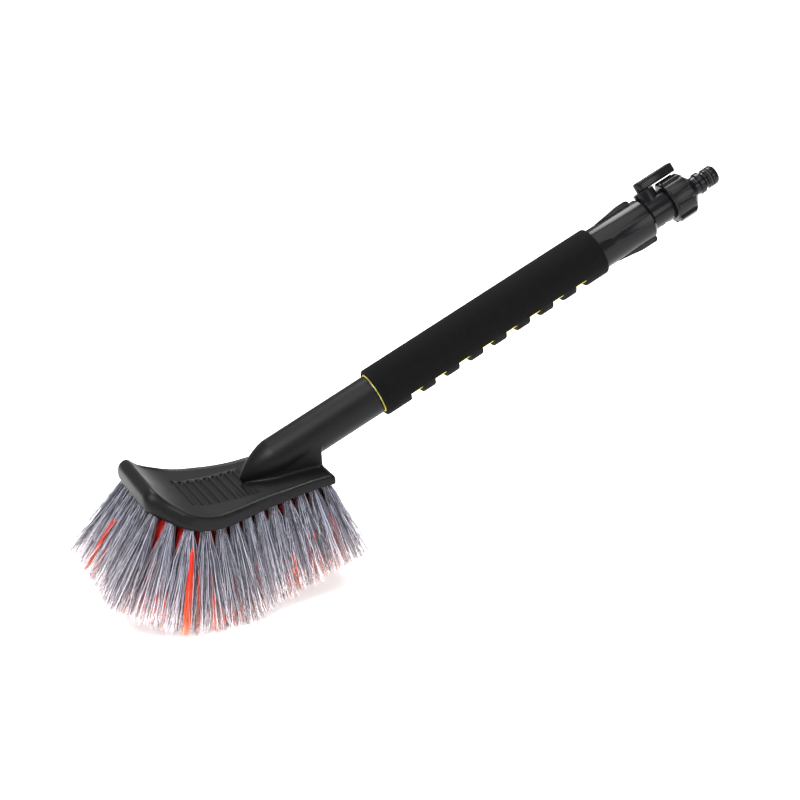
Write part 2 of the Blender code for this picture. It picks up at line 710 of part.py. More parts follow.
def make_plug():
    """The turning plug: open to the flow at rest, closed a quarter turn away."""
    groove = PLUG_RADIUS - 2 * RING_SECTION + FIT_GAP
    room = RING_SECTION + FIT_GAP
    high, low = BOSS_TOP - 0.0045, room + 0.0010 - RETAINER_SEAT
    tail = -RETAINER_SEAT - FIT_GAP
    end = tail - RETAINER_THICKNESS - FIT_GAP
    profile = [
        (0, BOSS_TOP + FIT_GAP),
        (PLUG_RADIUS, BOSS_TOP + FIT_GAP),
        (PLUG_RADIUS, high + room),
        (groove - FIT_GAP, high + room),
        (groove - FIT_GAP, high - room),
        (PLUG_RADIUS, high - room),
        (PLUG_RADIUS, low + room),
        (groove - FIT_GAP, low + room),
        (groove - FIT_GAP, low - room),
        (PLUG_RADIUS, low - room),
        (PLUG_RADIUS, tail),
        (PLUG_TAIL, tail),
        (PLUG_TAIL, end - 0.0006),
        (PLUG_TAIL - 0.0005, end - 0.0010),
        (0, end - 0.0010),
    ]
    plug = turned_solid("tap_plug", profile, PALE_PLASTIC, STEM, steps=32)
    half = DRIVE_HALF - FIT_GAP
    top = BOSS_TOP + 2 * FIT_GAP + DRIVE_DEPTH
    add(plug, block("drive_form", (-half, -half, BOSS_TOP - 0.0020), (half, half, top), STEM))
    across = STEM @ Matrix.Rotation(math.pi / 2, 4, "Y")
    cut(plug, rod("plug_port", PLUG_BORE, -0.010, 0.010, across, segments=24))
    hole = SCREW_SHANK + FIT_GAP
    bottom = lever_floor() - SCREW_LENGTH - 2 * FIT_GAP
    cut(plug, rod("screw_hole", hole, bottom, top + OVERRUN, STEM, segments=16))
    for name, place in (("upper_plug_seal", high), ("lower_plug_seal", low)):
        middle = groove + RING_SECTION
        o_ring(name, middle - FIT_GAP / 2, SEAL_RUBBER, STEM @ Matrix.Translation((0, 0, place)))
    inner = PLUG_TAIL + FIT_GAP
    low = tail - RETAINER_THICKNESS - FIT_GAP / 2
    high = low + RETAINER_THICKNESS
    ring("plug_retainer", inner, RETAINER_RADIUS, low, high, SCREW_STEEL, STEM, steps=24)


def lever_floor():
    """Height of the floor of the lever's pocket, which the screw's head sits on."""
    return BOSS_TOP + 2 * FIT_GAP + LEVER_THICKNESS - LEVER_POCKET


def make_lever():
    low = BOSS_TOP + 2 * FIT_GAP
    high = low + LEVER_THICKNESS
    tip = LEVER_LENGTH - LEVER_HEEL
    round_end = [math.pi / 2 + math.pi * i / 12 for i in range(13)]
    heel = [(LEVER_HEEL * math.cos(a), LEVER_HALF * math.sin(a)) for a in round_end]
    outline = heel + [(tip - 0.0015, -LEVER_HALF), (tip, 0.0015 - LEVER_HALF)]
    outline += [(tip, LEVER_HALF - 0.0015), (tip - 0.0015, LEVER_HALF)]
    lever = prism("tap_lever", outline, low, high, STEM, GLOSS_PLASTIC, cutter=False)
    edge = lever.modifiers.new("Edge", "BEVEL")
    edge.width = 0.0006
    edge.segments = 2
    edge.limit_method = "ANGLE"
    edge.angle_limit = math.radians(60)
    half = DRIVE_HALF
    deep = low + DRIVE_DEPTH + FIT_GAP
    drive = block("drive_cutter", (-half, -half, low - OVERRUN), (half, half, deep), STEM)
    pocket = block(
        "pocket_cutter",
        (-SCREW_HEAD_RADIUS - 0.0004, -SCREW_HEAD_RADIUS - 0.0004, lever_floor()),
        (SCREW_HEAD_RADIUS + 0.0050, SCREW_HEAD_RADIUS + 0.0004, high + OVERRUN),
        STEM,
    )
    hole = rod("lever_hole", SCREW_SHANK + FIT_GAP, low, high, STEM, segments=16)
    cut(lever, drive, pocket, hole)


def make_lever_screw():
    seat = lever_floor() + FIT_GAP
    top = seat + SCREW_HEAD
    profile = [
        (0, top),
        (SCREW_HEAD_RADIUS - 0.0004, top),
        (SCREW_HEAD_RADIUS, top - 0.0004),
        (SCREW_HEAD_RADIUS, seat),
        (SCREW_SHANK, seat),
        (SCREW_SHANK, seat - SCREW_LENGTH),
        (0, seat - SCREW_LENGTH - 0.0004),
    ]
    screw = turned_solid("lever_screw", profile, SCREW_STEEL, STEM, steps=24)
    depth = SCREW_HEAD * 0.6
    for i in range(2):
        place = STEM @ Matrix.Rotation(math.pi / 2 * i, 4, "Z")
        low = (-SCREW_HEAD_RADIUS * 0.6, -0.00025, top - depth)
        cut(screw, block(f"cross_slot_{i + 1}", low, (-low[0], -low[1], top + OVERRUN), place))


# ---------------------------------------------------------------- hose adapter

SKIRT_START = BARREL_END + FIT_GAP
SKIRT_END = SKIRT_START + ADAPTER_SKIRT
ADAPTER_TIP = SKIRT_END + NIPPLE_LENGTH
NIPPLE_RING = ADAPTER_TIP - 0.0068


def make_adapter():
    inner = THREAD_RADIUS + FIT_GAP
    floor = THREAD_END + WASHER_THICKNESS + 2 * FIT_GAP
    groove = NIPPLE_HEAD - 2 * RING_SECTION + 0.0002
    room = RING_SECTION + FIT_GAP
    profile = [
        (NIPPLE_HEAD - 0.0014, ADAPTER_TIP),
        (NIPPLE_HEAD, ADAPTER_TIP - 0.0018),
        (NIPPLE_HEAD, NIPPLE_RING + room),
        (groove - FIT_GAP, NIPPLE_RING + room),
        (groove - FIT_GAP, NIPPLE_RING - room),
        (NIPPLE_HEAD, NIPPLE_RING - room),
        (NIPPLE_HEAD, NIPPLE_RING - room - 0.0014),
        (NIPPLE_HEAD - 0.0012, NIPPLE_RING - room - 0.0020),
        (NIPPLE_HEAD - 0.0012, NIPPLE_RING - room - 0.0038),
        (NIPPLE_COLLAR, NIPPLE_RING - room - 0.0056),
        (NIPPLE_COLLAR, NIPPLE_RING - room - 0.0092),
        (NIPPLE_NECK, NIPPLE_RING - room - 0.0100),
        (NIPPLE_NECK, SKIRT_END + 0.0050),
        (ADAPTER_RADIUS - 0.0055, SKIRT_END + 0.0022),
        (ADAPTER_RADIUS, SKIRT_END - 0.0022),
        (ADAPTER_RADIUS, SKIRT_START + 0.0008),
        (ADAPTER_RADIUS - 0.0008, SKIRT_START),
        (inner, SKIRT_START),
        (inner, floor),
        (NIPPLE_BORE, floor),
        (NIPPLE_BORE, ADAPTER_TIP),
    ]
    adapter = turned("hose_adapter", profile, GLOSS_PLASTIC, ON_TAP)
    low, high = ADAPTER_RADIUS - 0.0010, ADAPTER_RIB_RADIUS
    half = ADAPTER_RIB_WIDTH / 2
    side = [
        (low, SKIRT_START + 0.0010),
        (high - 0.0006, SKIRT_START + 0.0010),
        (high, SKIRT_START + 0.0016),
        (high, SKIRT_END - 0.0040),
        (low, SKIRT_END - 0.0008),
    ]
    for i in range(ADAPTER_RIBS):
        turn = Matrix.Rotation(math.tau * (i + 0.5) / ADAPTER_RIBS, 4, "Z")
        flat = Matrix.Rotation(math.pi / 2, 4, "X")
        add(adapter, prism(f"rib_{i + 1}_form", side, -half, half, ON_TAP @ turn @ flat))
    o_ring(
        "nipple_o_ring",
        groove + RING_SECTION - FIT_GAP / 2,
        SEAL_RUBBER,
        ON_TAP @ Matrix.Translation((0, 0, NIPPLE_RING)),
    )
    low = THREAD_END + FIT_GAP
    high = low + WASHER_THICKNESS
    ring("adapter_washer", BORE_RADIUS, THREAD_RADIUS, low, high, SEAL_RUBBER, ON_TAP, steps=32)


make_head()
make_diffuser()
make_tufts()
make_handle()
make_grip()
make_tap_body()
make_plug()
make_lever()
make_lever_screw()
make_adapter()
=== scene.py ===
import math

import bpy
import numpy as np
from mathutils import Matrix, Vector


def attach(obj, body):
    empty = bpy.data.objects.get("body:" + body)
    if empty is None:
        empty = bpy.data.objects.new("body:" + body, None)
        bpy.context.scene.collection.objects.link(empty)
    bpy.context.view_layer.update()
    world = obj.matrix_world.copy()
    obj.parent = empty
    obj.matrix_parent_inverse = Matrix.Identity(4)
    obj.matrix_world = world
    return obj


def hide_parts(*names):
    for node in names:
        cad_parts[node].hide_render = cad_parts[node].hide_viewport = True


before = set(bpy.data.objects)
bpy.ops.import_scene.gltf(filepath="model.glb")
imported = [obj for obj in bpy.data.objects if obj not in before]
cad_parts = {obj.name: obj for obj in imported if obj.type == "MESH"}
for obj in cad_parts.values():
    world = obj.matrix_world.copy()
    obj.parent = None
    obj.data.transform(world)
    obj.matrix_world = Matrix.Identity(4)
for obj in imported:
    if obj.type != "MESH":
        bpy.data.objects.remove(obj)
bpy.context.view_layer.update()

# ---------------------------------------------------------------- camera, light and floor
# The brush is seen from its right front, a little above the handle, with a long lens.
# Large soft lights stand on both sides and behind, and a very wide one overhead evens them out.
# The floor is white paper that glows a little, so that it stays white behind the brush.

camera_data = bpy.data.cameras.new("camera")
camera_data.lens = 85.5
camera_data.sensor_width = 36
camera_data.clip_start = 0.05
camera = bpy.data.objects.new("camera", camera_data)
bpy.context.scene.collection.objects.link(camera)
camera_place = Vector((-0.3317, -1.3002, 0.5683))
back = Vector((-0.339, -0.891, 0.304)).normalized()
right = Vector((0.927, -0.371, -0.056))
right = (right - back * right.dot(back)).normalized()
up = back.cross(right)
turn = Matrix((right, up, back)).transposed()
camera.matrix_world = Matrix.Translation(camera_place) @ turn.to_4x4()
bpy.context.scene.camera = camera

world = bpy.data.worlds.new("studio")
bpy.context.scene.world = world
world.use_nodes = True
surround = world.node_tree.nodes["Background"]
surround.inputs["Color"].default_value = (1, 1, 1, 1)
surround.inputs["Strength"].default_value = 0.34
bpy.context.scene.view_settings.view_transform = "Standard"


def soft_light(name, place, target, size, power):
    """A round light this many metres across and of this many watts, turned to its target."""
    data = bpy.data.lights.new(name, "AREA")
    data.shape = "DISK"
    data.size = size
    data.energy = power
    light = bpy.data.objects.new(name, data)
    bpy.context.scene.collection.objects.link(light)
    light.location = place
    light.rotation_euler = (Vector(target) - Vector(place)).to_track_quat("-Z", "Y").to_euler()


soft_light("key_light", (-0.9, -0.7, 1.5), (0.05, 0, 0.1), size=0.7, power=22)
soft_light("fill_light", (0.9, -1.6, 0.8), (0.1, 0, 0.1), size=1.0, power=9)
soft_light("top_light", (0.3, 0.9, 1.7), (0.1, 0, 0.15), size=0.9, power=24)

sky = bpy.data.lights.new("even_light", "SUN")
sky.energy = 1.9
sky.angle = math.radians(60)
sky_light = bpy.data.objects.new("even_light", sky)
sky_light.rotation_euler = (math.radians(18), math.radians(-22), 0)
bpy.context.scene.collection.objects.link(sky_light)

floor_size, floor_drop = 12, 0.0005
bpy.ops.mesh.primitive_plane_add(size=floor_size, location=(0, 0, -floor_drop))
floor = bpy.context.object
floor.name = "floor"
paper = bpy.data.materials.new("floor_paper")
paper.use_nodes = True
paper_shader = paper.node_tree.nodes["Principled BSDF"]
paper_shader.inputs["Base Color"].default_value = (0.95, 0.95, 0.95, 1)
paper_shader.inputs["Roughness"].default_value = 0.9
paper_shader.inputs["Emission Color"].default_value = (1, 1, 1, 1)
paper_shader.inputs["Emission Strength"].default_value = 0.55
floor.data.materials.append(paper)

# ---------------------------------------------------------------- head block
# The head, its keel and the hollow neck are one injection moulding in black polypropylene, with
# a fine satin grain and a front lip rolled rounder than its other edges. It takes the handle tube
# in its neck, and the pierced cup of the water diffuser is pressed into it from below.


def refined(node, name, width=0.0, segments=2, angle=35):
    """A CAD piece's own shape with its loose triangles merged, its edges softened and shaded."""
    merge_distance, flat_angle = 0.00001, 0.8
    bpy.ops.object.select_all(action="DESELECT")
    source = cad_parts[node]
    piece = bpy.data.objects.new(name, source.data.copy())
    piece.data.name = name
    bpy.context.scene.collection.objects.link(piece)
    piece.data.materials.clear()
    piece.select_set(True)
    bpy.context.view_layer.objects.active = piece
    bpy.ops.object.mode_set(mode="EDIT")
    bpy.ops.mesh.select_all(action="SELECT")
    bpy.ops.mesh.remove_doubles(threshold=merge_distance)
    bpy.ops.mesh.dissolve_limited(angle_limit=math.radians(flat_angle))
    bpy.ops.mesh.normals_make_consistent(inside=False)
    bpy.ops.object.mode_set(mode="OBJECT")
    if width:
        edge = piece.modifiers.new("soft_edges", "BEVEL")
        edge.width = width
        edge.segments = segments
        edge.limit_method = "ANGLE"
        edge.angle_limit = math.radians(angle)
        bpy.ops.object.modifier_apply(modifier="soft_edges")
    bpy.ops.object.shade_smooth_by_angle(angle=math.radians(angle))
    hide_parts(node)
    return piece


def socketed(name, inputs, outputs):
    """An empty node group with these sockets, and the nodes at its two ends."""
    group = bpy.data.node_groups.new(name, "ShaderNodeTree")
    for label, kind, default in inputs:
        socket = group.interface.new_socket(label, in_out="INPUT", socket_type=kind)
        socket.default_value = default
    for label, kind in outputs:
        group.interface.new_socket(label, in_out="OUTPUT", socket_type=kind)
    nodes = group.nodes
    return group, nodes.new("NodeGroupInput"), nodes.new("NodeGroupOutput")


moulded_grain, grain_in, grain_out = socketed(
    "moulded_grain",
    [
        ("Colour", "NodeSocketColor", (0.03, 0.03, 0.03, 1)),
        ("Pale", "NodeSocketColor", (0.08, 0.08, 0.08, 1)),
        ("Least Roughness", "NodeSocketFloat", 0.4),
        ("Grain Size", "NodeSocketFloat", 900.0),
        ("Grain Depth", "NodeSocketFloat", 0.00002),
    ],
    [
        ("Colour", "NodeSocketColor"),
        ("Roughness", "NodeSocketFloat"),
        ("Height", "NodeSocketFloat"),
    ],
)
nodes, links = moulded_grain.nodes, moulded_grain.links
place = nodes.new("ShaderNodeTexCoord")
fine = nodes.new("ShaderNodeTexNoise")
fine.inputs["Detail"].default_value = 3
links.new(place.outputs["Object"], fine.inputs["Vector"])
links.new(grain_in.outputs["Grain Size"], fine.inputs["Scale"])
cloud = nodes.new("ShaderNodeTexNoise")
cloud.inputs["Scale"].default_value = 28
cloud.inputs["Detail"].default_value = 5
links.new(place.outputs["Object"], cloud.inputs["Vector"])
worn = nodes.new("ShaderNodeNewGeometry")
edge_ramp = nodes.new("ShaderNodeMapRange")
edge_ramp.inputs["From Min"].default_value = 0.52
edge_ramp.inputs["From Max"].default_value = 0.60
edge_ramp.inputs["To Max"].default_value = 0.45
links.new(worn.outputs["Pointiness"], edge_ramp.inputs["Value"])
mottle = nodes.new("ShaderNodeMapRange")
mottle.inputs["From Min"].default_value = 0.35
mottle.inputs["From Max"].default_value = 0.75
mottle.inputs["To Max"].default_value = 0.25
links.new(cloud.outputs["Fac"], mottle.inputs["Value"])
both = nodes.new("ShaderNodeMath")
both.operation = "ADD"
both.use_clamp = True
links.new(edge_ramp.outputs["Result"], both.inputs[0])
links.new(mottle.outputs["Result"], both.inputs[1])
tone = nodes.new("ShaderNodeMix")
tone.data_type = "RGBA"
links.new(both.outputs["Value"], tone.inputs["Factor"])
links.new(grain_in.outputs["Colour"], tone.inputs["A"])
links.new(grain_in.outputs["Pale"], tone.inputs["B"])
links.new(tone.outputs["Result"], grain_out.inputs["Colour"])
rough = nodes.new("ShaderNodeMath")
rough.operation = "MULTIPLY_ADD"
rough.inputs[1].default_value = 0.18
links.new(cloud.outputs["Fac"], rough.inputs[0])
links.new(grain_in.outputs["Least Roughness"], rough.inputs[2])
links.new(rough.outputs["Value"], grain_out.inputs["Roughness"])
height = nodes.new("ShaderNodeMath")
height.operation = "MULTIPLY"
links.new(fine.outputs["Fac"], height.inputs[0])
links.new(grain_in.outputs["Grain Depth"], height.inputs[1])
links.new(height.outputs["Value"], grain_out.inputs["Height"])


def grained(name, colour, pale, roughness, size, depth, metallic=0.0, specular=0.5):
    """A material with the moulded grain: pale is its colour where it is worn, at the edges."""
    made = bpy.data.materials.new(name)
    made.use_nodes = True
    nodes, links = made.node_tree.nodes, made.node_tree.links
    shader = nodes["Principled BSDF"]
    shader.inputs["Metallic"].default_value = metallic
    shader.inputs["Specular IOR Level"].default_value = specular
    grain = nodes.new("ShaderNodeGroup")
    grain.node_tree = moulded_grain
    grain.inputs["Colour"].default_value = (*colour, 1)
    grain.inputs["Pale"].default_value = (*pale, 1)
    grain.inputs["Least Roughness"].default_value = roughness
    grain.inputs["Grain Size"].default_value = size
    grain.inputs["Grain Depth"].default_value = depth
    bump = nodes.new("ShaderNodeBump")
    bump.inputs["Distance"].default_value = 1.0
    links.new(grain.outputs["Height"], bump.inputs["Height"])
    links.new(grain.outputs["Colour"], shader.inputs["Base Color"])
    links.new(grain.outputs["Roughness"], shader.inputs["Roughness"])
    links.new(bump.outputs["Normal"], shader.inputs["Normal"])
    return made


def moulded(piece, voxel, rounds):
    """Remeshes a piece finely and evens it out, which rounds its edges as a moulding's are."""
    remesh = piece.modifiers.new("even_mesh", "REMESH")
    remesh.mode = "VOXEL"
    remesh.voxel_size = voxel
    remesh.use_smooth_shade = True
    evened = piece.modifiers.new("evened", "SMOOTH")
    evened.factor = 0.5
    evened.iterations = rounds
    bpy.context.view_layer.objects.active = piece
    bpy.ops.object.modifier_apply(modifier="even_mesh")
    bpy.ops.object.modifier_apply(modifier="evened")


satin_black = grained(
    "satin_black_plastic",
    colour=(0.0045, 0.0045, 0.005),
    pale=(0.010, 0.010, 0.011),
    roughness=0.33,
    size=1500,
    depth=0.00003,
    specular=0.15,
)
head = refined("head_block", "head_moulding")
moulded(head, voxel=0.00085, rounds=5)

# The front lip is evened out further, most of all towards its corners.
lip_start, lip_run = -0.032, 0.010
corner_start, corner_run = 0.028, 0.006
middle_weight, corner_weight = 0.3, 0.7
lip = head.vertex_groups.new(name="front_lip")
for vertex in head.data.vertices:
    near_front = min(max((lip_start - vertex.co.x) / lip_run, 0), 1)
    near_corner = min(max((abs(vertex.co.y) - corner_start) / corner_run, 0), 1)
    weight = near_front * (middle_weight + corner_weight * near_corner)
    lip.add([vertex.index], weight, "REPLACE")
rolled = head.modifiers.new("rolled_lip", "SMOOTH")
rolled.factor = 0.5
rolled.iterations = 80
rolled.vertex_group = "front_lip"
bpy.ops.object.modifier_apply(modifier="rolled_lip")
head.data.materials.append(satin_black)
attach(head, "brush")
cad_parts["water_diffuser"].data.materials[0] = satin_black

# ---------------------------------------------------------------- bristle tufts
# Bundles of plastic filament are folded in half and stapled into holes in the block's underside.
# The outer rows are grey, with their ends split into fine pale hairs. The inner rows are red, and
# some of their filaments come out between the grey tufts.

curl_radius, curl = 0.087, math.radians(38)
top_radius, top_curl = 0.055, math.radians(55)
front_run = top_radius * top_curl
rear_x = 0.0935
underside, rear_rise = 0.0710, 0.0111
half_widths = [(-0.0451, 0.046), (-0.019, 0.0615), (0.046, 0.046), (rear_x, 0.0415)]
row_inset = 0.0065
bristle_run, front_loss, rear_loss = 0.0725, 0.004, 0.0165
rear_lean, side_lean = math.tan(math.radians(17)), math.tan(math.radians(15))

# No filament goes outside this box, so the longest ones end level, just above the floor.
lowest, highest = np.array((-0.0925, -0.0790, 0.0004)), np.array((0.2, 0.0790, 0.2))


def eased(start, end, share):
    """Goes from start to end without a kink at either."""
    return start + (end - start) * (1 - math.cos(math.pi * min(max(share, 0), 1))) / 2


def block_half_width(x):
    for (start, first), (end, last) in zip(half_widths, half_widths[1:]):
        if x < end:
            break
    return eased(first, last, (x - start) / (end - start))


def tuft_line(distance, across):
    """(root, unit direction, length) of the tuft this far behind the head's lowest point."""
    if distance < 0:
        angle = curl * distance / front_run
        x = curl_radius * math.sin(angle)
        z = underside + curl_radius * (1 - math.cos(angle))
        top_x = top_radius * math.sin(distance / top_radius)
        run = (bristle_run - front_loss * (distance / front_run) ** 2) * math.cos(angle)
        lean = math.tan(angle)
    else:
        x = top_x = distance
        z = underside + eased(0, rear_rise, distance / rear_x)
        run = bristle_run - rear_loss * x / rear_x
        lean = rear_lean * (x / rear_x) ** 2
    y = across * (block_half_width(top_x) - row_inset)
    line = float(run) * Vector((lean, side_lean * across, -1))
    return Vector((x, y, z)), line.normalized(), line.length


class Strands:
    """Gathers three-sided tapering filaments into one mesh, with a random number and the share
    of the length in each filament's UVs."""

    def __init__(self):
        self.points, self.faces, self.uvs, self.count = [], [], [], 0

    def add(self, paths, radii, shades, along):
        """paths is filaments x rings x 3. Each ring has a radius and a share of the length, along,
        and each filament has a shade."""
        filaments, rings = paths.shape[:2]
        run = paths[:, -1] - paths[:, 0]
        run /= np.linalg.norm(run, axis=1, keepdims=True)
        sideways = np.array([0.0, 1.0, 0.12])  # no filament runs this way
        side = np.cross(run, sideways)
        side /= np.linalg.norm(side, axis=1, keepdims=True)
        other = np.cross(run, side)
        corners = []
        for k in range(3):
            angle = math.tau * k / 3
            away = side * math.cos(angle) + other * math.sin(angle)
            corners.append(paths + away[:, None, :] * radii[None, :, None])
        points = np.stack(corners, axis=2)
        base = self.count + np.arange(filaments)[:, None, None] * rings * 3
        ring = np.arange(rings - 1)[None, :, None] * 3
        k = np.arange(3)[None, None, :]
        a, b = base + ring + k, base + ring + (k + 1) % 3
        quads = np.stack([a, b, b + 3, a + 3], axis=-1).reshape(-1, 4)
        share = np.broadcast_to(along[None, :, None], (filaments, rings, 3))
        shade = np.broadcast_to(shades[:, None, None], (filaments, rings, 3))
        self.points.append(points.reshape(-1, 3))
        self.faces.append(quads)
        self.uvs.append(np.stack([shade, share], axis=-1).reshape(-1, 2))
        self.count += filaments * rings * 3

    def finish(self, name, material):
        points, faces = np.concatenate(self.points), np.concatenate(self.faces)
        uvs = np.concatenate(self.uvs)
        mesh = bpy.data.meshes.new(name)
        mesh.vertices.add(len(points))
        mesh.vertices.foreach_set("co", points.ravel())
        mesh.loops.add(faces.size)
        mesh.loops.foreach_set("vertex_index", faces.ravel())
        mesh.polygons.add(len(faces))
        mesh.polygons.foreach_set("loop_start", np.arange(len(faces)) * 4)
        mesh.polygons.foreach_set("use_smooth", np.ones(len(faces), bool))
        layer = mesh.uv_layers.new(name="strand")
        layer.data.foreach_set("uv", uvs[faces.ravel()].ravel())
        mesh.update(calc_edges=True)
        mesh.validate()
        mesh.materials.append(material)
        made = bpy.data.objects.new(name, mesh)
        bpy.context.scene.collection.objects.link(made)
        return made


def tuft(strands, rng, distance, across, count, root_radius, spread, deep, hairs=2, rings=7):
    """One tuft: spread is its half width at the tips along the head, and deep across it."""
    tilt_scatter, length_scatter = 0.02, 0.012
    stray, stray_scatter, plain_scatter, scatter_limit = 0.06, 0.0050, 0.0020, 1.8
    bow_scatter, crimp_scatter, crimp_waves = 0.0011, 0.00042, 2.6
    longest, end_scatter, edge_loss = 1.02, 0.055, 0.02
    opening, glint_rarity = 1.05, 2.2
    split_from, hair_run, hair_scatter = 0.65, 0.6, 0.0013
    root, direction, length = tuft_line(distance, across)
    direction = np.array(direction) + rng.normal(0, tilt_scatter, 3) * np.array([1, 1, 0])
    direction /= np.linalg.norm(direction)
    length *= 1 + rng.normal(0, length_scatter)
    first = np.cross(direction, [0, 1, 0])
    first /= np.linalg.norm(first)
    second = np.cross(direction, first)
    far = root_radius * np.sqrt(rng.random(count))
    angle = rng.random(count) * math.tau
    flat = np.stack([far * np.cos(angle), far * np.sin(angle)], axis=1)
    loose = np.clip(rng.normal(0, 1, (count, 2)), -scatter_limit, scatter_limit)
    loose *= np.where(rng.random(count) < stray, stray_scatter, plain_scatter)[:, None]
    end = flat * np.array([spread, deep]) / root_radius + loose
    bow = rng.normal(0, bow_scatter, (count, 2))
    crimp = rng.normal(0, crimp_scatter, (count, 2))
    phase = rng.random(count)[:, None] * math.tau
    share = np.linspace(0, 1, rings)
    uneven = np.abs(rng.normal(0, end_scatter, count))
    reach = length * (longest - uneven - edge_loss * (end[:, 0] / spread) ** 2)
    offset = flat[:, None] + (end - flat)[:, None] * (share**opening)[None, :, None]
    offset += bow[:, None] * np.sin(math.pi * share)[None, :, None]
    offset += crimp[:, None] * np.sin(phase + share[None] * math.tau * crimp_waves)[..., None]
    paths = np.array(root) + direction * (reach[:, None] * share[None, :])[..., None]
    paths = paths + offset[..., :1] * first + offset[..., 1:] * second
    paths = np.clip(paths, lowest, highest)
    # Each strand's lightness is random, most dark and a few very light: painted shade between the
    # strands and painted glints on single ones.
    shades = rng.random(count) ** glint_rarity
    radii = np.interp(share, [0, 0.75, 1], [0.00025, 0.00022, 0.00011])
    strands.add(paths, radii, shades, share)
    tip = paths[:, -1]
    start = paths[:, -2] * (1 - split_from) + tip * split_from
    hair_radii, hair_share = np.array([0.00008, 0.00004]), np.array([0.90, 1.0])
    for _ in range(hairs):
        out = tip + (tip - start) * rng.uniform(0.0, hair_run, (count, 1))
        out = np.clip(out + rng.normal(0, hair_scatter, (count, 3)), lowest, highest)
        strands.add(np.stack([start, out], axis=1), hair_radii, shades, hair_share)


def wisp(strands, rng, inner, outer, outward, count, emerges, width, proud=0.0040):
    """Inner filaments that come out between two outer tufts and lie on the bristles' surface.
    inner and outer are each (distance, across), and emerges is a share of the length."""
    rings, crossing, tip_rise = 9, 0.25, 0.0025
    thick_scatter, bow_scatter = 0.0005, 0.0007
    root_fan, opening = 0.12, 1.3
    inner_root, inner_way, inner_length = tuft_line(*inner)
    outer_root, outer_way, outer_length = tuft_line(*outer)
    share = np.linspace(0, 1, rings)
    out = np.clip((share - emerges + crossing) / crossing, 0, 1)
    out = (out * out * (3 - 2 * out))[:, None]
    deep = np.array(inner_root) + np.array(inner_way) * (inner_length * share)[:, None]
    near = np.array(outer_root) + np.array(outer_way) * (outer_length * share)[:, None]
    near += np.array(outward) * (proud + tip_rise * share)[:, None]
    line = deep * (1 - out) + near * out
    along = np.cross(outward, outer_way)
    fan = along * rng.normal(0, width, (count, 1)) + rng.normal(0, thick_scatter, (count, 3))
    bow = rng.normal(0, bow_scatter, (count, 3))
    opened = root_fan + (1 - root_fan) * share**opening
    paths = line[None] + fan[:, None] * opened[None, :, None]
    paths += bow[:, None] * np.sin(math.pi * share)[None, :, None]
    paths = np.clip(paths, lowest, highest)
    radii = np.interp(share, [0, 0.8, 1], [0.00024, 0.00022, 0.00012])
    strands.add(paths, radii, rng.random(count), share)


def filament(name, stops, shade_darkest, glint_lightest, roughness):
    """Plastic filament. Its colour runs along the strand, root first, and each strand is its own
    amount lighter or darker, which paints glints on the light strands and shade on the dark ones.
    It is duller towards the tip."""
    tip_dulling = 0.25
    made = bpy.data.materials.new(name)
    made.use_nodes = True
    nodes, links = made.node_tree.nodes, made.node_tree.links
    shader = nodes["Principled BSDF"]
    uv = nodes.new("ShaderNodeUVMap")
    uv.uv_map = "strand"
    parts = nodes.new("ShaderNodeSeparateXYZ")
    links.new(uv.outputs["UV"], parts.inputs["Vector"])
    ramp = nodes.new("ShaderNodeValToRGB")
    ramp.color_ramp.elements.remove(ramp.color_ramp.elements[0])
    ramp.color_ramp.elements[0].position = stops[0][0]
    ramp.color_ramp.elements[0].color = (*stops[0][1], 1)
    for position, colour in stops[1:]:
        element = ramp.color_ramp.elements.new(position)
        element.color = (*colour, 1)
    links.new(parts.outputs["Y"], ramp.inputs["Fac"])
    tone = nodes.new("ShaderNodeMapRange")
    tone.inputs["To Min"].default_value = shade_darkest
    tone.inputs["To Max"].default_value = glint_lightest
    links.new(parts.outputs["X"], tone.inputs["Value"])
    shaded = nodes.new("ShaderNodeVectorMath")
    shaded.operation = "SCALE"
    links.new(ramp.outputs["Color"], shaded.inputs["Vector"])
    links.new(tone.outputs["Result"], shaded.inputs["Scale"])
    links.new(shaded.outputs["Vector"], shader.inputs["Base Color"])
    dull = nodes.new("ShaderNodeMapRange")
    dull.inputs["To Min"].default_value = roughness
    dull.inputs["To Max"].default_value = roughness + tip_dulling
    links.new(parts.outputs["Y"], dull.inputs["Value"])
    links.new(dull.outputs["Result"], shader.inputs["Roughness"])
    return made


# The grey filament darkens towards its root: painted shade among the tufts under the head. Its pale
# end is the colour of the split tips.
grey_filament = filament(
    "grey_filament",
    stops=[
        (0.0, (0.14, 0.14, 0.17)),
        (0.35, (0.19, 0.19, 0.23)),
        (0.75, (0.32, 0.30, 0.34)),
        (1.0, (0.66, 0.60, 0.62)),
    ],
    # The darkest strands are painted shade and the lightest are painted glints.
    shade_darkest=0.40,
    glint_lightest=3.5,
    roughness=0.22,
)
# The red filament's colour along its length is painted light and shade: deep red at the root for
# the shade among the tufts, kept bright so that it still shows in the gaps, and an orange, paler
# lower part for light falling on it.
red_filament = filament(
    "red_filament",
    stops=[
        (0.0, (0.85, 0.008, 0.008)),
        (0.45, (0.80, 0.040, 0.014)),
        (0.85, (0.90, 0.14, 0.04)),
        (1.0, (0.88, 0.40, 0.28)),
    ],
    shade_darkest=0.75,
    glint_lightest=1.15,
    roughness=0.36,
)

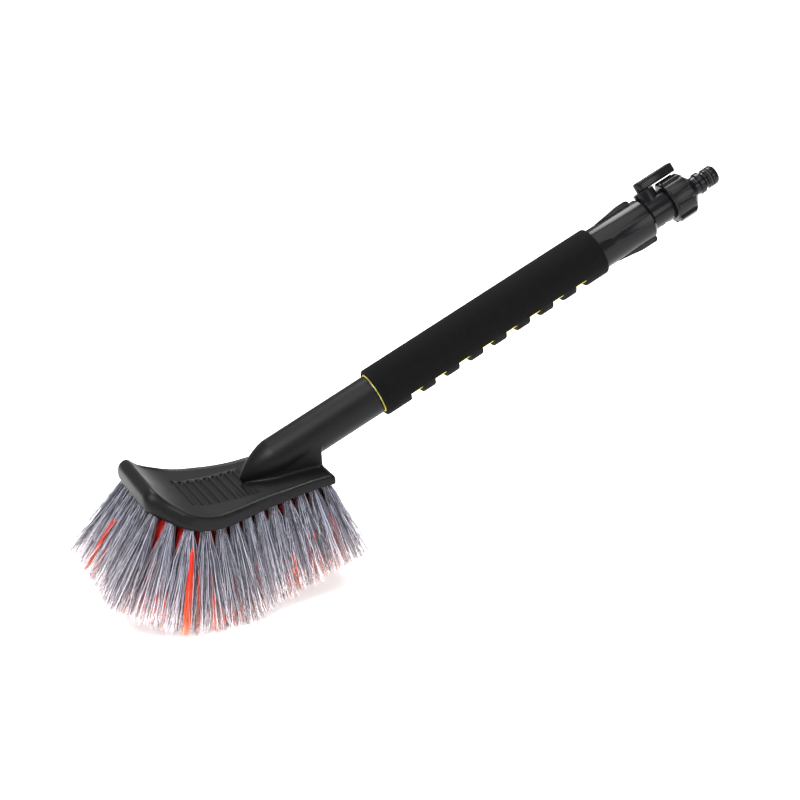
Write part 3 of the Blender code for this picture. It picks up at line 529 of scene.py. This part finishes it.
# The tufts stand in thirteen rows from front to rear. The first and last row have seven grey tufts,
# and each row between them has nine places: a grey tuft at each end and red ones inside.
rng = np.random.default_rng(41)
last_row, last_place = 12, 8
front_margin, both_margins = 0.0075, 0.0145
row_run = front_run + rear_x - both_margins
rows = [-front_run + front_margin + i * row_run / last_row for i in range(last_row + 1)]
columns = [-1, -0.84, -0.54, -0.27, 0, 0.27, 0.54, 0.84, 1]
end_places = [j * last_place / 6 for j in range(7)]
between = range(1, last_row)
groups = {
    "front_tufts": [(0, j) for j in end_places],
    "rear_tufts": [(last_row, j) for j in end_places],
    "right_side_tufts": [(i, 0) for i in between],
    "left_side_tufts": [(i, last_place) for i in between],
    "right_inner_tufts": [(i, j) for i in between for j in (1, 2)],
    "centre_tufts": [(i, j) for i in between for j in (3, 4, 5)],
    "left_inner_tufts": [(i, j) for i in between for j in (6, 7)],
}


def scattered(side, number, most, proudest):
    """Thin wisps all along one side of the head: side is -1 for the right and 1 for the left."""
    first, last, step_scatter = -0.034, 0.080, 0.002
    fewest, lowest_out, highest_out, width = 3, 0.35, 0.9, 0.0016
    return [
        (
            (x, side * columns[-2]),
            (x + rng.normal(0, step_scatter), side),
            (0, side, 0),
            int(rng.integers(fewest, most)),
            rng.uniform(lowest_out, highest_out),
            width,
            rng.uniform(0, proudest),
        )
        for x in np.linspace(first, last, number)
    ]


# Each wisp is the inner tuft it comes from, the outer place where it comes out, the way out, how
# many filaments it has, where along the bristles it comes out and its half width. A scattered one
# also has how far it lies outside the grey bristles.
right, front = (0, -1, 0), (-0.84, 0, 0.54)
wisps = {
    "right_inner_tufts": [
        ((-0.0185, -0.84), (-0.0210, -1), right, 48, 0.22, 0.0017),
        ((-0.0343, -0.75), (-0.0430, -0.9), right, 10, 0.55, 0.0014),
        *scattered(-1, number=32, most=8, proudest=0.003),
    ],
    "centre_tufts": [
        ((-0.0343, 0.25), (-0.0453, 0.30), front, 24, 0.40, 0.0014),
        ((-0.0343, -0.10), (-0.0453, -0.05), front, 14, 0.60, 0.0012),
    ],
    "left_inner_tufts": scattered(1, number=26, most=16, proudest=0.004),
}
red_size = {"count": 150, "root_radius": 0.0036, "spread": 0.0100, "deep": 0.0080}
grey_count, curled_count, grey_root = 200, 230, 0.0033
side_spread, curled_spread, side_deep = 0.0108, 0.0150, 0.0058
end_spread, end_deep = 0.0060, 0.0112
for node, cells in groups.items():
    strands = Strands()
    inner = "inner" in node or "centre" in node
    for i, j in cells:
        if inner:
            tuft(strands, rng, rows[i], columns[j], **red_size, hairs=0, rings=5)
            continue
        curled = rows[i] < 0
        count = curled_count if curled else grey_count
        spread, deep = end_spread, end_deep
        if j in (0, last_place):
            spread, deep = curled_spread if curled else side_spread, side_deep
        across = j * 2 / last_place - 1
        tuft(strands, rng, rows[i], across, count, grey_root, spread, deep)
    for placed in wisps.get(node, []):
        wisp(strands, rng, *placed)
    look = red_filament if inner else grey_filament
    bristles = strands.finish(node.replace("tufts", "bristles"), look)
    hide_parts(node)
    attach(bristles, "brush")

# ---------------------------------------------------------------- handle tube and seals
# Drawn aluminium tube, pressed into the neck and the tap against a rubber ring at each end.
# Both its ends are inside other pieces. All the rings and washers of the brush, down to the one
# on the nipple, are the same black nitrile rubber and sit in grooves or against shoulders.

fine_grain = 0.00001
bare_aluminium = grained(
    "drawn_aluminium",
    colour=(0.60, 0.61, 0.62),
    pale=(0.70, 0.70, 0.71),
    roughness=0.25,
    size=700,
    depth=fine_grain,
    metallic=1.0,
)
seal_rubber = grained(
    "seal_rubber",
    colour=(0.010, 0.010, 0.010),
    pale=(0.022, 0.022, 0.022),
    roughness=0.5,
    size=1200,
    depth=fine_grain,
)
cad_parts["handle_tube"].data.materials[0] = bare_aluminium
for node in (
    "neck_seal",
    "socket_seal",
    "adapter_washer",
    "upper_plug_seal",
    "lower_plug_seal",
    "nipple_o_ring",
):
    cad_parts[node].data.materials[0] = seal_rubber

# ---------------------------------------------------------------- foam grip
# Two layers of closed-cell EVA foam slid over the tube: yellow inside and black outside.
# The black layer is cut through at the finger notches, so the yellow shows in their bottoms.


def foam(name, colour, pale, size):
    """Skived foam: a fine open grain of cells, with larger soft dents."""
    cells_per_dent = 14
    made = bpy.data.materials.new(name)
    made.use_nodes = True
    nodes, links = made.node_tree.nodes, made.node_tree.links
    shader = nodes["Principled BSDF"]
    shader.inputs["Specular IOR Level"].default_value = 0.06
    shader.inputs["Sheen Weight"].default_value = 0.02
    shader.inputs["Sheen Roughness"].default_value = 0.5
    where = nodes.new("ShaderNodeTexCoord")
    cells = nodes.new("ShaderNodeTexVoronoi")
    cells.inputs["Scale"].default_value = size
    links.new(where.outputs["Object"], cells.inputs["Vector"])
    dents = nodes.new("ShaderNodeTexNoise")
    dents.inputs["Scale"].default_value = size / cells_per_dent
    dents.inputs["Detail"].default_value = 6
    links.new(where.outputs["Object"], dents.inputs["Vector"])
    tone = nodes.new("ShaderNodeMix")
    tone.data_type = "RGBA"
    tone.inputs["A"].default_value = (*colour, 1)
    tone.inputs["B"].default_value = (*pale, 1)
    links.new(dents.outputs["Fac"], tone.inputs["Factor"])
    links.new(tone.outputs["Result"], shader.inputs["Base Color"])
    pores = nodes.new("ShaderNodeBump")
    pores.inputs["Strength"].default_value = 0.5
    pores.inputs["Distance"].default_value = 0.0002
    links.new(cells.outputs["Distance"], pores.inputs["Height"])
    waves = nodes.new("ShaderNodeBump")
    waves.inputs["Strength"].default_value = 0.3
    waves.inputs["Distance"].default_value = 0.0005
    links.new(dents.outputs["Fac"], waves.inputs["Height"])
    links.new(pores.outputs["Normal"], waves.inputs["Normal"])
    links.new(waves.outputs["Normal"], shader.inputs["Normal"])
    rough = nodes.new("ShaderNodeMapRange")
    rough.inputs["To Min"].default_value = 0.72
    rough.inputs["To Max"].default_value = 0.95
    links.new(dents.outputs["Fac"], rough.inputs["Value"])
    links.new(rough.outputs["Result"], shader.inputs["Roughness"])
    return made


cell_scale, soft_angle = 2200, 40
black_foam = foam("black_foam", (0.002, 0.002, 0.002), (0.006, 0.006, 0.006), cell_scale)
yellow_foam = foam("yellow_foam", (0.92, 0.76, 0.08), (0.96, 0.84, 0.16), cell_scale)
for node, name, look, slot in (
    ("grip_outer_foam", "black_foam_grip", black_foam, "black_foam"),
    ("grip_inner_foam", "yellow_foam_layer", yellow_foam, "yellow_foam"),
):
    sleeve = refined(node, name, width=0.0005, angle=soft_angle)
    sleeve.data.materials.append(look)
    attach(sleeve, "brush")

# ---------------------------------------------------------------- tap
# A glossy black nylon body with four gripping fins, pushed over the tube. A near-black acetal plug
# turns in it, kept from below by a blackened retainer. The lever is held down on the plug by a
# stainless cross-head screw in its pocket.

metal_grain = 900
gloss_black = grained(
    "gloss_black_plastic",
    colour=(0.004, 0.004, 0.005),
    pale=(0.010, 0.010, 0.011),
    roughness=0.13,
    size=1100,
    depth=fine_grain,
    specular=0.20,
)
acetal = grained(
    "plug_plastic",
    colour=(0.020, 0.020, 0.021),
    pale=(0.035, 0.035, 0.036),
    roughness=0.35,
    size=900,
    depth=fine_grain,
)
stainless = grained(
    "plain_stainless",
    colour=(0.50, 0.50, 0.51),
    pale=(0.62, 0.62, 0.63),
    roughness=0.22,
    size=metal_grain,
    depth=fine_grain,
    metallic=1.0,
)
blackened = grained(
    "blackened_steel",
    colour=(0.012, 0.012, 0.012),
    pale=(0.03, 0.03, 0.03),
    roughness=0.3,
    size=metal_grain,
    depth=fine_grain,
)
body = refined("tap_body", "tap_moulding", width=0.0006, segments=3, angle=soft_angle)
body.data.materials.append(gloss_black)
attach(body, "brush")
lever = refined("tap_lever", "lever_moulding", angle=soft_angle)
lever.data.materials.append(gloss_black)
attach(lever, "tap")
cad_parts["tap_plug"].data.materials[0] = acetal
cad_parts["lever_screw"].data.materials[0] = stainless
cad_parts["plug_retainer"].data.materials[0] = blackened

# ---------------------------------------------------------------- hose adapter
# A ribbed nut and a push-on nipple moulded in one piece, with an O-ring near its open end.
# It screws onto the tap's thread against a flat rubber washer.

adapter = refined("hose_adapter", "adapter_moulding", width=0.0003, angle=soft_angle)
adapter.data.materials.append(gloss_black)
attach(adapter, "adapter")
